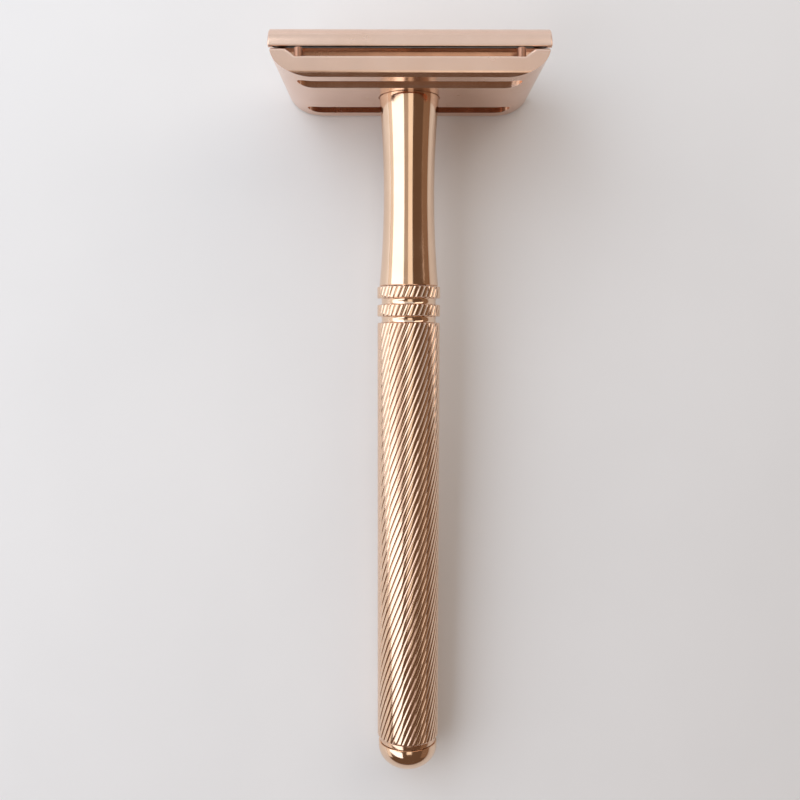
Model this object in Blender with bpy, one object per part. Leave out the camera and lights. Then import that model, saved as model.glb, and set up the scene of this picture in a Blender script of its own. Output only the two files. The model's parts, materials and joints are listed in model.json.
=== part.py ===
"""Three-piece double-edge safety razor, lying on its guard bar and the end of its handle.

The pieces are drawn in the razor's own frame, in millimetres: +Z runs along the handle
from its domed end towards the head, X runs along the blade, and Z = 0 is the underside
of the base plate. The whole razor hangs on one empty, which lays it down on Z = 0.
"""

import math

import bmesh
import bpy
from mathutils import Vector

MM = 0.001
GAP = 0.1  # clearance between two pieces that rest on each other
FIT = 0.1  # radial clearance of a screw, a pin or a rod in its hole

# Blade and the curve that it is clamped to
BLADE_LENGTH = 42.6
BLADE_THICKNESS = 0.1
BLADE_HALF_CHORD = 10.85
BLADE_EDGE_LENGTH = 37.2
BLADE_TAB_WIDTH = 12.8
BLADE_BEVEL = 0.9
BLADE_SLOT_WIDTH = 2.5
BLADE_SLOT_LENGTH = 34.0
BLADE_EYE_RADIUS = 3.1
CLAMP_RADIUS = 32.0  # curvature of the blade bed
BED_CROWN = 6.4

# Cap
CAP_LENGTH = 43.1
CAP_DEPTH = 20.8
CAP_CROWN = 9.4
CAP_CROWN_RADIUS = 29.0
CAP_SHOULDER_RADIUS = 4.0
CAP_SHOULDER_START = math.radians(15.0)  # slope at which the crown passes into the shoulder
CAP_EDGE_ROUND = 0.35
STUD_RADIUS = 2.45
STUD_TOP = 8.6
STUD_TIP = -8.0
PIN_RADIUS = 0.95
PIN_SPACING = 30.0
PIN_TOP = 8.0
PIN_TIP = 2.9

# Base plate
BASE_LENGTH = 41.9
BASE_DEPTH = 25.0
BASE_END_RUN = 6.4  # how far the rounded end reaches along the blade
BASE_END_RISE = 4.2
BAR_TOP = 2.8
BAR_CHAMFER = 0.55
BAR_INNER_TOP = 10.9  # half width across the inner edges of the bar tops
SLOT_INNER = 5.9
SLOT_OUTER = 9.75
SLOT_HALF_LENGTH = 17.3
SLOT_STEP = 0.03  # the slot stands this far out from the side of the blade bed
BED_HALF_WIDTH = 8.6
CHANNEL_HALF_LENGTH = 17.2
CHANNEL_END_RUN = 1.3  # the end of the channel climbs this far while it rises TAB_RISE
TAB_RISE = 0.9
POST_RADIUS = 0.65
POST_X = 16.7
POST_Y = 11.7
POST_TOP = 4.4
SEAT_DEPTH = 0.3  # shallow seat that centres the neck
SEAT_CLEARANCE = 0.15

# Neck
NECK_END_RADIUS = 4.85
NECK_WAIST_RADIUS = 4.15
NECK_LENGTH = 30.46
NECK_RIM_CHAMFER = 0.25
INSERT_RADIUS = 3.3
INSERT_LENGTH = 11.9

# Grip
GRIP_RADIUS = 5.15
GRIP_TOP = -30.56
GRIP_END = -106.55
GRIP_SHOULDER = 0.35  # length and depth of the plain shoulder below the flutes
COLLAR_RADIUS = 5.18
COLLAR_WIDTH = 1.9  # each of the two collars above the long grip
GROOVE_WIDTH = 1.05
GROOVE_RADIUS = 4.5
FLUTES = 36
FLUTE_LEAD = 73.4  # one turn of a flute along the handle
FLUTE_DEPTH = 0.2
FLUTE_GROOVE_SHARE = 0.42  # share of the pitch that the groove takes
GRIP_STEPS = 18
CORE_RADIUS = 2.5
CORE_TOP = -20.1
CORE_END = -109.9

# End pieces
END_RING_THICKNESS = 0.7
END_RING_RADIUS = 4.75
DOME_RADIUS = 4.95
DOME_HEIGHT = 3.87
DOME_BAND = 0.85

ROUND_STEPS = 48
SMALL_STEPS = 24
ARC_STEPS = 14
END_STEPS = 6  # steps of the half circle that ends a slot


def clear_scene():
    for obj in list(bpy.data.objects):
        bpy.data.objects.remove(obj, do_unlink=True)


def make_material(name, colour, roughness, metallic):
    material = bpy.data.materials.new(name)
    material.use_nodes = True
    shader = material.node_tree.nodes["Principled BSDF"]
    shader.inputs["Base Color"].default_value = (*colour, 1.0)
    shader.inputs["Roughness"].default_value = roughness
    shader.inputs["Metallic"].default_value = metallic
    return material


def satin_rose_gold(name):
    return make_material(name, (0.83, 0.58, 0.47), 0.22, 1.0)


def polished_rose_gold(name):
    return make_material(name, (0.86, 0.60, 0.44), 0.10, 1.0)


def make_empty(name, parent=None):
    empty = bpy.data.objects.new(name, None)
    empty.empty_display_size = 5.0 * MM
    empty.parent = parent
    bpy.context.scene.collection.objects.link(empty)
    return empty


def add_piece(name, bm, material, parent, origin=(0.0, 0.0, 0.0)):
    """Turns a bmesh drawn in the razor's frame into an object whose origin is at origin."""
    shift = Vector(origin)
    for vert in bm.verts:
        vert.co = (vert.co - shift) * MM
    bmesh.ops.recalc_face_normals(bm, faces=bm.faces)
    mesh = bpy.data.meshes.new(name)
    bm.to_mesh(mesh)
    bm.free()
    mesh.shade_smooth()
    mesh.set_sharp_from_angle(angle=math.radians(32.0))
    mesh.materials.append(material)
    obj = bpy.data.objects.new(name, mesh)
    obj.parent = parent
    obj.location = shift * MM
    bpy.context.scene.collection.objects.link(obj)
    return obj


def add_cutter(name, bm, parent):
    cutter = add_piece(name, bm, bpy.data.materials[0], parent)
    cutter.hide_render = True
    cutter.display_type = "WIRE"
    return cutter


def combine(obj, other, operation):
    modifier = obj.modifiers.new(other.name, "BOOLEAN")
    modifier.operation = operation
    modifier.solver = "EXACT"
    modifier.object = other


def circle_points(radius, steps):
    turns = [2.0 * math.pi * i / steps for i in range(steps)]
    return [(radius * math.cos(a), radius * math.sin(a)) for a in turns]


def turned(profile, steps):
    """Spins a profile of (radius, height) points about Z. A radius of 0 closes it on the axis."""
    bm = bmesh.new()
    rings = []
    for radius, height in profile:
        if radius == 0.0:
            rings.append([bm.verts.new((0.0, 0.0, height))])
        else:
            points = circle_points(radius, steps)
            rings.append([bm.verts.new((x, y, height)) for x, y in points])
    pairs = list(zip(rings, rings[1:]))
    if profile[0][0] != 0.0:
        pairs.append((rings[-1], rings[0]))
    for lower, upper in pairs:
        join_rings(bm, lower, upper, steps)
    return bm


def join_rings(bm, lower, upper, steps):
    for i in range(steps):
        j = (i + 1) % steps
        corners = [lower[i % len(lower)], lower[j % len(lower)]]
        corners += [upper[j % len(upper)], upper[i % len(upper)]]
        kept = [v for n, v in enumerate(corners) if v not in corners[:n]]
        if len(kept) > 2:
            bm.faces.new(kept)


def tube(outer, inner, top, bottom, steps):
    profile = [(outer, top), (outer, bottom), (inner, bottom), (inner, top)]
    return turned(profile, steps)


def rod(radius, top, bottom, steps, x=0.0, y=0.0, chamfer=0.0):
    profile = [(0.0, top), (radius, top)]
    if chamfer:
        profile += [(radius, bottom + chamfer), (radius - chamfer, bottom)]
    else:
        profile += [(radius, bottom)]
    profile += [(0.0, bottom)]
    bm = turned(profile, steps)
    bmesh.ops.translate(bm, verts=bm.verts, vec=(x, y, 0.0))
    return bm


def prism(sections):
    """Joins matching outlines, given as lists of 3-D points, and closes both ends."""
    bm = bmesh.new()
    rings = [[bm.verts.new(p) for p in section] for section in sections]
    steps = len(rings[0])
    for lower, upper in zip(rings, rings[1:]):
        join_rings(bm, lower, upper, steps)
    bm.faces.new(rings[0])
    bm.faces.new(rings[-1])
    return bm


def along_x(outline, half_length):
    return prism([[(x, y, z) for y, z in outline] for x in (-half_length, half_length)])


def along_y(outline, half_length):
    return prism([[(x, y, z) for x, z in outline] for y in (-half_length, half_length)])


def arc_height(y, crown, radius):
    return crown - radius + math.sqrt(radius * radius - y * y)


def arc(crown, radius, half_chord, steps):
    """Points of an arc about X, from -half_chord to +half_chord, even in angle."""
    limit = math.asin(half_chord / radius)
    turns = [limit * (2.0 * i / steps - 1.0) for i in range(steps + 1)]
    return [(radius * math.sin(a), crown - radius * (1.0 - math.cos(a))) for a in turns]


def clamp_arc(offset, half_chord):
    """The blade's curve, raised by offset: the bed, both blade faces and the cap share it."""
    return arc(BED_CROWN + offset, CLAMP_RADIUS + offset, half_chord, ARC_STEPS)


def cap_shoulder():
    """One side of the cap's top, down to the lip: an arc that is tangent to the crown's."""
    reach = CAP_CROWN_RADIUS - CAP_SHOULDER_RADIUS
    centre_y = reach * math.sin(CAP_SHOULDER_START)
    centre_z = CAP_CROWN - CAP_CROWN_RADIUS + reach * math.cos(CAP_SHOULDER_START)
    end = math.asin((CAP_DEPTH / 2.0 - centre_y) / CAP_SHOULDER_RADIUS)
    points = []
    for i in range(1, ARC_STEPS + 1):
        turn = CAP_SHOULDER_START + (end - CAP_SHOULDER_START) * i / ARC_STEPS
        y = centre_y + CAP_SHOULDER_RADIUS * math.sin(turn)
        points.append((y, centre_z + CAP_SHOULDER_RADIUS * math.cos(turn)))
    return points


def cap_outline():
    """Section across the cap: a shallow crown between two tight shoulders, over the blade's curve."""
    half_crown = CAP_CROWN_RADIUS * math.sin(CAP_SHOULDER_START)
    shoulder = cap_shoulder()
    top = [(-y, z) for y, z in shoulder[::-1]]
    top += arc(CAP_CROWN, CAP_CROWN_RADIUS, half_crown, ARC_STEPS)
    top += shoulder
    under = clamp_arc(2.0 * GAP + BLADE_THICKNESS, CAP_DEPTH / 2)
    return top + under[::-1]


def cap_section(x, inset):
    """The cap's outline at x, drawn in towards its middle by inset to round the end."""
    middle = (CAP_CROWN + BED_CROWN) / 2.0
    points = []
    for y, z in cap_outline():
        shrink = 1.0 - inset / (CAP_DEPTH / 2.0)
        lift = min(inset, max(0.0, z - middle))
        points.append((x, y * shrink, z - lift))
    return points


def make_top_cap(parent):
    half = CAP_LENGTH / 2.0
    run = CAP_EDGE_ROUND
    ends = [(half, run), (half - 0.3 * run, 0.3 * run), (half - run, 0.0)]
    sections = [cap_section(-x, inset) for x, inset in ends]
    sections += [cap_section(x, inset) for x, inset in ends[::-1]]
    cap = add_piece(
        "top_cap", prism(sections), satin_rose_gold("cap_rose_gold"), parent
    )
    socket = rod(STUD_RADIUS + FIT, STUD_TOP + GAP, 0.0, SMALL_STEPS)
    combine(cap, add_cutter("cut_cap_stud_socket", socket, parent), "DIFFERENCE")
    for side in (-1, 1):
        hole = rod(
            PIN_RADIUS + FIT, PIN_TOP + GAP, 0.0, SMALL_STEPS, x=side * PIN_SPACING / 2
        )
        name = f"cut_cap_pin_socket_{'left' if side < 0 else 'right'}"
        combine(cap, add_cutter(name, hole, parent), "DIFFERENCE")


def make_cap_stud(parent):
    steel = make_material("stud_steel", (0.62, 0.60, 0.58), 0.30, 1.0)
    stud = rod(STUD_RADIUS, STUD_TOP, STUD_TIP, SMALL_STEPS, chamfer=0.6)
    add_piece("cap_stud", stud, steel, parent, origin=(0.0, 0.0, STUD_TOP))


def make_cap_pins(parent):
    steel = make_material("pin_steel", (0.66, 0.63, 0.60), 0.25, 1.0)
    for side in (-1, 1):
        x = side * PIN_SPACING / 2.0
        pin = rod(PIN_RADIUS, PIN_TOP, PIN_TIP, SMALL_STEPS, x=x, chamfer=0.3)
        name = f"cap_pin_{'left' if side < 0 else 'right'}"
        add_piece(name, pin, steel, parent, origin=(x, 0.0, PIN_TOP))


def blade_outline():
    """Section across the blade: two matching arcs that close to a ground edge on each side."""
    full = BLADE_HALF_CHORD - BLADE_BEVEL
    under = clamp_arc(GAP, full)
    top = clamp_arc(GAP + BLADE_THICKNESS, full)
    middle = BED_CROWN + GAP + BLADE_THICKNESS / 2.0
    tip = arc_height(BLADE_HALF_CHORD, middle, CLAMP_RADIUS + GAP)
    half = BLADE_THICKNESS / 8.0
    left = [(-BLADE_HALF_CHORD, tip - half), (-BLADE_HALF_CHORD, tip + half)]
    right = [(BLADE_HALF_CHORD, tip + half), (BLADE_HALF_CHORD, tip - half)]
    return left + top + right + under[::-1]


def block(x0, x1, y0, y1, z0, z1):
    outline = [(x0, y0), (x1, y0), (x1, y1), (x0, y1)]
    return prism([[(x, y, z) for x, y in outline] for z in (z0, z1)])


def round_ended(half_length, near, far, z):
    """Outline of a long slot at height z, between two Y values, with a half circle at each end."""
    middle = (near + far) / 2.0
    radius = abs(far - near) / 2.0
    points = []
    for side in (1, -1):
        for i in range(END_STEPS + 1):
            turn = math.pi * (i / END_STEPS - 0.5)
            x = side * (half_length - radius + radius * math.cos(turn))
            points.append((x, middle + side * radius * math.sin(turn), z))
    return points


def make_blade(parent):
    steel = make_material("blade_steel", (0.72, 0.73, 0.74), 0.18, 1.0)
    blade = add_piece(
        "blade", along_x(blade_outline(), BLADE_LENGTH / 2.0), steel, parent
    )
    low = BED_CROWN - 4.0
    high = BED_CROWN + 2.0
    half = BLADE_SLOT_WIDTH / 2.0
    slot = prism([round_ended(BLADE_SLOT_LENGTH / 2.0, -half, half, z) for z in (low, high)])
    combine(blade, add_cutter("cut_blade_slot", slot, parent), "DIFFERENCE")
    eye = rod(BLADE_EYE_RADIUS, high, low, SMALL_STEPS)
    combine(blade, add_cutter("cut_blade_eye", eye, parent), "DIFFERENCE")
    for side_x in (-1, 1):
        for side_y in (-1, 1):
            xs = sorted((side_x * BLADE_EDGE_LENGTH / 2.0, side_x * BLADE_LENGTH))
            ys = sorted((side_y * BLADE_TAB_WIDTH / 2.0, side_y * BASE_DEPTH))
            corner = block(xs[0], xs[1], ys[0], ys[1], low, high)
            name = f"cut_blade_corner_{side_x + 1}{side_y + 1}"
            combine(blade, add_cutter(name, corner, parent), "DIFFERENCE")


def base_outline():
    """Section across the base plate before the channels and slots are cut."""
    half = BASE_DEPTH / 2.0
    round_off = 0.25
    top = clamp_arc(0.0, half - round_off)
    side = top[-1][1] - round_off
    left = [(-half + BAR_CHAMFER, 0.0), (-half, BAR_CHAMFER), (-half, side)]
    right = [(-y, z) for y, z in left[::-1]]
    return left + top + right


def base_end_outline():
    """Outline along the base plate: flat underneath, with each end swept up as an ellipse."""
    start = BASE_LENGTH / 2.0 - BASE_END_RUN
    steps = 8
    right = []
    for i in range(steps + 1):
        turn = math.pi / 2.0 * i / steps
        x = start + BASE_END_RUN * math.sin(turn)
        z = BASE_END_RISE * (1.0 - math.cos(turn))
        right.append((x, z))
    right.append((BASE_LENGTH / 2.0, BED_CROWN + 3.0))
    left = [(-x, z) for x, z in right[::-1]]
    return right + left


def wall_y(z):
    """Half width of the blade bed's side at height z: it leans outward on its way up."""
    lean = (BED_HALF_WIDTH - SLOT_INNER) / arc_height(
        BED_HALF_WIDTH, BED_CROWN, CLAMP_RADIUS
    )
    return SLOT_INNER + lean * z


def bar_wall_y(z):
    lean = (BAR_INNER_TOP - SLOT_OUTER) / BAR_TOP
    return SLOT_OUTER + lean * z


def slot_cutter(side):
    """The sloping lather slot between the blade bed and one guard bar."""
    sections = []
    for z in (-1.0, BAR_TOP + 0.3):
        near = side * (wall_y(z) + SLOT_STEP)
        far = side * bar_wall_y(z)
        sections.append(round_ended(SLOT_HALF_LENGTH, near, far, z))
    return prism(sections)


def channel_cutter(side):
    """The open channel over one guard bar, whose ends climb to the tabs."""
    sections = []
    for z in (BAR_TOP, BED_CROWN + 1.0):
        near = side * wall_y(z)
        far = side * BASE_DEPTH
        x = CHANNEL_HALF_LENGTH + CHANNEL_END_RUN * (z - BAR_TOP) / TAB_RISE
        sections.append([(-x, near, z), (x, near, z), (x, far, z), (-x, far, z)])
    return prism(sections)


def make_base_plate(parent):
    base = add_piece(
        "base_plate",
        along_x(base_outline(), BASE_LENGTH / 2.0),
        satin_rose_gold("base_rose_gold"),
        parent,
    )
    hull = along_y(base_end_outline(), BASE_DEPTH)
    combine(base, add_cutter("cut_base_ends", hull, parent), "INTERSECT")
    for shape, cutter in (("channel", channel_cutter), ("slot", slot_cutter)):
        for side in (-1, 1):
            name = f"cut_base_{shape}_{'upper' if side < 0 else 'lower'}"
            combine(base, add_cutter(name, cutter(side), parent), "DIFFERENCE")
    hole = rod(STUD_RADIUS + 3.0 * FIT, BED_CROWN + 1.0, -1.0, SMALL_STEPS)
    combine(base, add_cutter("cut_base_stud_hole", hole, parent), "DIFFERENCE")
    seat = rod(
        NECK_END_RADIUS + SEAT_CLEARANCE, SEAT_DEPTH, -1.0, ROUND_STEPS
    )
    combine(base, add_cutter("cut_base_neck_seat", seat, parent), "DIFFERENCE")
    for side in (-1, 1):
        x = side * PIN_SPACING / 2.0
        pin_hole = rod(PIN_RADIUS + FIT, BED_CROWN + 1.0, PIN_TIP - 0.3, SMALL_STEPS, x=x)
        word = "left" if side < 0 else "right"
        cutter = add_cutter(f"cut_base_pin_hole_{word}", pin_hole, parent)
        combine(base, cutter, "DIFFERENCE")
    for side_x in (-1, 1):
        for side_y in (-1, 1):
            post = rod(
                POST_RADIUS, POST_TOP, BAR_TOP - 0.5, 12, side_x * POST_X, side_y * POST_Y
            )
            name = f"add_base_post_{side_x + 1}{side_y + 1}"
            combine(base, add_cutter(name, post, parent), "UNION")


def neck_radius(z):
    """The neck's side is one shallow arc, narrowest halfway down."""
    half = NECK_LENGTH / 2.0
    sag = NECK_END_RADIUS - NECK_WAIST_RADIUS
    radius = (half * half + sag * sag) / (2.0 * sag)
    offset = z + half
    return NECK_WAIST_RADIUS + radius - math.sqrt(radius * radius - offset * offset)


def make_neck(parent):
    top = SEAT_DEPTH - GAP
    bottom = -NECK_LENGTH
    profile = [(NECK_END_RADIUS - NECK_RIM_CHAMFER, top)]
    steps = 12
    for i in range(steps + 1):
        z = -NECK_LENGTH * i / steps
        profile.append((neck_radius(z), z))
    core = CORE_RADIUS + FIT
    profile += [(core, bottom), (core, CORE_TOP + GAP), (0.0, CORE_TOP + GAP)]
    floor = top - INSERT_LENGTH - 2.0 * GAP
    bore = INSERT_RADIUS + FIT
    profile = [(0.0, floor), (bore, floor), (bore, top)] + profile
    gold = polished_rose_gold("neck_rose_gold")
    add_piece("neck", turned(profile, ROUND_STEPS), gold, parent)


def make_neck_insert(parent):
    top = SEAT_DEPTH - 2.0 * GAP
    bush = tube(
        INSERT_RADIUS, STUD_RADIUS + FIT, top, top - INSERT_LENGTH, ROUND_STEPS
    )
    brass = make_material("insert_brass", (0.78, 0.62, 0.34), 0.35, 1.0)
    add_piece("neck_insert", bush, brass, parent, origin=(0.0, 0.0, top))


def flute_angle(z):
    """How far the flutes have turned at height z."""
    return 2.0 * math.pi * z / FLUTE_LEAD


def fluted_ring(z, radius, depth):
    """One ring of the grip: each flute is a land followed by a V groove of the given depth."""
    pitch = 2.0 * math.pi / FLUTES
    start = flute_angle(z) - math.pi / 2.0
    points = []
    for i in range(FLUTES):
        angle = start + i * pitch
        groove = FLUTE_GROOVE_SHARE * pitch
        for turn, r in (
            (0.0, radius),
            (pitch - groove, radius),
            (pitch - groove / 2.0, radius - depth),
        ):
            points.append(
                (r * math.cos(angle + turn), r * math.sin(angle + turn), z)
            )
    return points


def grip_rings():
    """Heights, radii and flute depths down the grip: two collars, then the long body."""
    rings = []
    z = GRIP_TOP
    for _ in range(2):
        rings.append((z, COLLAR_RADIUS, FLUTE_DEPTH))
        z -= COLLAR_WIDTH
        rings.append((z, COLLAR_RADIUS, FLUTE_DEPTH))
        rings.append((z, GROOVE_RADIUS, 0.0))
        z -= GROOVE_WIDTH
        rings.append((z, GROOVE_RADIUS, 0.0))
    body = GRIP_END + GRIP_SHOULDER - z
    for i in range(GRIP_STEPS + 1):
        rings.append((z + body * i / GRIP_STEPS, GRIP_RADIUS, FLUTE_DEPTH))
    rings.append((GRIP_END, GRIP_RADIUS - GRIP_SHOULDER, 0.0))
    return rings


def make_grip(parent):
    bm = bmesh.new()
    rings = []
    for z, radius, depth in grip_rings():
        rings.append([bm.verts.new(p) for p in fluted_ring(z, radius, depth)])
    bore = CORE_RADIUS + FIT
    for z in (GRIP_END, GRIP_TOP):
        rings.append([bm.verts.new(p) for p in fluted_ring(z, bore, 0.0)])
    steps = len(rings[0])
    for lower, upper in zip(rings, rings[1:] + rings[:1]):
        join_rings(bm, lower, upper, steps)
    gold = polished_rose_gold("grip_rose_gold")
    add_piece("grip", bm, gold, parent, origin=(0.0, 0.0, GRIP_TOP))


def make_core_rod(parent):
    steel = make_material("core_steel", (0.50, 0.50, 0.51), 0.40, 1.0)
    core = rod(CORE_RADIUS, CORE_TOP, CORE_END, SMALL_STEPS, chamfer=0.4)
    add_piece("core_rod", core, steel, parent, origin=(0.0, 0.0, CORE_TOP))


def make_end_ring(parent):
    top = GRIP_END - GAP
    ring = tube(
        END_RING_RADIUS, CORE_RADIUS + FIT, top, top - END_RING_THICKNESS, ROUND_STEPS
    )
    gold = make_material("ring_rose_gold", (0.70, 0.46, 0.33), 0.25, 1.0)
    add_piece("end_ring", ring, gold, parent, origin=(0.0, 0.0, top))


def end_cap_top():
    return GRIP_END - END_RING_THICKNESS - 2.0 * GAP


def dome_centre():
    return end_cap_top() - DOME_BAND


def make_end_cap(parent):
    top = end_cap_top()
    centre = dome_centre()
    rim = 0.12
    profile = [(0.0, CORE_END - GAP), (CORE_RADIUS + FIT, CORE_END - GAP)]
    profile += [(CORE_RADIUS + FIT, top), (DOME_RADIUS - rim, top)]
    profile += [(DOME_RADIUS, top - rim)]
    steps = 12
    for i in range(steps):
        turn = math.pi / 2.0 * i / steps
        profile.append(
            (DOME_RADIUS * math.cos(turn), centre - DOME_HEIGHT * math.sin(turn))
        )
    profile.append((0.0, centre - DOME_HEIGHT))
    gold = polished_rose_gold("end_rose_gold")
    cap = turned(profile, ROUND_STEPS)
    add_piece("end_cap", cap, gold, parent, origin=(0.0, 0.0, top))


def lay_down(root):
    """Tips the razor over so that one guard bar and the end of the grip touch Z = 0,
    and centres its length on Y = 0."""
    half = BASE_DEPTH / 2.0
    touch = GRIP_END + GRIP_SHOULDER
    tilt = math.atan2(half - GRIP_RADIUS, BAR_CHAMFER - touch)
    root.rotation_euler = (tilt - math.pi / 2.0, 0.0, 0.0)
    height = half * math.cos(tilt) - BAR_CHAMFER * math.sin(tilt)
    head_end = (CAP_CROWN - CAP_CROWN_RADIUS) * math.cos(tilt) + CAP_CROWN_RADIUS
    dome_reach = math.hypot(DOME_HEIGHT * math.cos(tilt), DOME_RADIUS * math.sin(tilt))
    handle_end = dome_centre() * math.cos(tilt) - dome_reach
    root.location = (0.0, -(head_end + handle_end) / 2.0 * MM, height * MM)


def main():
    clear_scene()
    razor = make_empty("razor")
    lay_down(razor)
    head = make_empty("head_axis", razor)
    lift = make_empty("cap_lift", razor)
    spin = make_empty("handle_spin", razor)
    make_base_plate(head)
    make_blade(make_empty("blade_lift", razor))
    make_top_cap(lift)
    make_cap_stud(lift)
    make_cap_pins(lift)
    make_neck(spin)
    make_neck_insert(spin)
    make_grip(spin)
    make_core_rod(spin)
    make_end_ring(spin)
    make_end_cap(spin)


main()
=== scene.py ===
"""Rose-gold safety razor on a pale table, seen from close above."""

import json
import math

import bmesh
import bpy
from mathutils import Matrix, Vector


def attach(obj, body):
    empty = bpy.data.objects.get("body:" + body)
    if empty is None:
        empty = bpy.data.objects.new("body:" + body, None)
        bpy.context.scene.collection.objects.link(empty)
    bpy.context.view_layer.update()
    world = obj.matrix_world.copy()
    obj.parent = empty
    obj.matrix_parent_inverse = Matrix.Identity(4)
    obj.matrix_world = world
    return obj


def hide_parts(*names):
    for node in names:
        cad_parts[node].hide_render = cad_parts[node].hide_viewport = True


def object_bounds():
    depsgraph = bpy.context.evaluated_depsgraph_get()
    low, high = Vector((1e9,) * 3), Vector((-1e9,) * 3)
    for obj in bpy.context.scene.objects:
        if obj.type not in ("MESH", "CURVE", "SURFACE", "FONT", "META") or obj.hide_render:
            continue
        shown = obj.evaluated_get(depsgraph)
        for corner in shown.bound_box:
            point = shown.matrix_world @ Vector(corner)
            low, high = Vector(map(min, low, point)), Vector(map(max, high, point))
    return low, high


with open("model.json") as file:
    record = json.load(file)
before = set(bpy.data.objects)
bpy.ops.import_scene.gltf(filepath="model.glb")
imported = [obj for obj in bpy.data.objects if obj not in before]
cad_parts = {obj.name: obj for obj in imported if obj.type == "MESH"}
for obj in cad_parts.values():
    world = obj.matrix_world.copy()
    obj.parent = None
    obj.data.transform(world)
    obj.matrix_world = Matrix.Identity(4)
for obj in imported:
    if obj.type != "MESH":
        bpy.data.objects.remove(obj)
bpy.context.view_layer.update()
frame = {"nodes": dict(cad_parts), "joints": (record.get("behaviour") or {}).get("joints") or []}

MM = 0.001
SHARP_ANGLE = 32.0  # degrees between two faces from which their edge is shown sharp
ROUND_STEPS = 160  # points around the handle's smooth pieces

# Sizes in millimetres, in the razor's own frame: Z up the handle to the head,
# X along the blade, Z = 0 on the underside of the base plate.
GAP = 0.1  # between pieces that are clamped or screwed together

# The blade, and the arched bed that bends it
CLAMP_RADIUS = 32.0
BED_CROWN = 6.4
BLADE_LENGTH = 42.6
BLADE_THICKNESS = 0.1
BLADE_HALF_CHORD = 10.85
BLADE_EDGE_LENGTH = 37.2
BLADE_TAB_WIDTH = 12.8
BLADE_BEVEL = 0.9
BLADE_TIP = 0.01  # half the thickness of the cutting edge
BLADE_SLOT_HALF_WIDTH = 1.05
BLADE_SLOT_HALF_LENGTH = 17.0
BLADE_SLOT_END = 1.0
STUD_EYE_RADIUS = 3.1
MIDDLE_EYE_X = 8.4
MIDDLE_EYE_RADIUS = 1.7
PIN_EYE_RADIUS = 1.5

# Cap
CAP_LENGTH = 43.1
CAP_DEPTH = 20.8
CAP_CROWN = 9.4
CAP_CROWN_RADIUS = 29.0
CAP_SHOULDER_RADIUS = 4.0
CAP_SHOULDER_START = math.radians(15.0)
CAP_EDGE = 0.3
LIP_INNER = 6.8
LIP_OUTER_INSET = 0.25
LIP_HEIGHT = 0.3
LIP_END_INSETS = (0.75, 0.1)

# Stud and locating pins
STUD_RADIUS = 2.45
STUD_TOP = 8.6
STUD_TIP = -8.0
STUD_CHAMFER = 0.6
STUD_CLEARANCE = 0.3
THREAD_PITCH = 0.8
THREAD_DEPTH = 0.45
THREAD_FLAT = 0.1  # width of a crest or a root, as a share of the pitch
PIN_RADIUS = 0.95
PIN_X = 15.0
PIN_TOP = 8.0
PIN_TIP = 2.9
PIN_ROUNDING = 0.35
PIN_HOLE_RADIUS = 1.05
PIN_HOLE_FLOOR = 2.6

# Base plate
BASE_LENGTH = 41.9
BASE_DEPTH = 25.0
BASE_END_RUN = 6.4
BASE_END_RISE = 4.2
BASE_EDGE = 0.15
RIM_CHAMFER = 0.25
BAR_TOP = 3.0
BAR_CHAMFER = 0.55
BAR_EDGE_ROUNDING = 0.3
MOUTH_ROUNDING = 0.38
BAR_INNER_TOP = 10.9
SLOT_INNER = 5.9
SLOT_OUTER = 9.75
SLOT_HALF_LENGTH = 17.3
SLOT_STEP = 0.03
BED_HALF_WIDTH = 8.6
WALL_BEND = 4.8
WALL_LEAN = math.tan(math.radians(10.0))
WALL_UPPER_LEAN = math.tan(math.radians(46.0))
CHANNEL_HALF_LENGTH = 17.2
CHANNEL_END_SLOPE = 1.3 / 0.9
POST_RADIUS = 0.65
POST_X = 16.7
POST_Y = 11.7
POST_TOP = 4.4
POST_ROOT = 0.5
POST_ROUNDING = 0.25
SEAT_DEPTH = 0.3
SEAT_RADIUS = 5.0
CUT_TOP = BED_CROWN + 1.0  # cutters that come from above or below start outside the plate
CUT_BOTTOM = -1.0

# Handle
NECK_END_RADIUS = 4.85
NECK_WAIST_RADIUS = 4.15
NECK_LENGTH = 30.46
NECK_RIM = 0.28
INSERT_RADIUS = 3.3
INSERT_LENGTH = 11.9
GRIP_RADIUS = 5.15
GRIP_TOP = -30.56
GRIP_END = -106.55
GRIP_EDGE = 0.12
GRIP_SHOULDER = 0.35
COLLARS = 2
COLLAR_RADIUS = 5.18
COLLAR_WIDTH = 1.9
GROOVE_WIDTH = 1.05
GROOVE_RADIUS = 4.46
GROOVE_ROUNDING = 0.22
FLUTES = 36
FLUTE_LEAD = 73.4
FLUTE_DEPTH = 0.11
FLUTE_LAND = 0.30  # half the width of a land, as a share of the pitch
FLUTE_CROWN = 0.01
FLUTE_END_SHARE = 0.6  # of the flutes' depth, left at a chamfered end
CORE_BORE = 2.6
CORE_TOP = -20.0
CORE_END = -110.0
RING_THICKNESS = 0.7
RING_RADIUS = 4.75
RING_EDGE = 0.05
DOME_RADIUS = 4.95
DOME_HEIGHT = 3.87
DOME_BAND = 0.85
DOME_EDGE = 0.06

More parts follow.
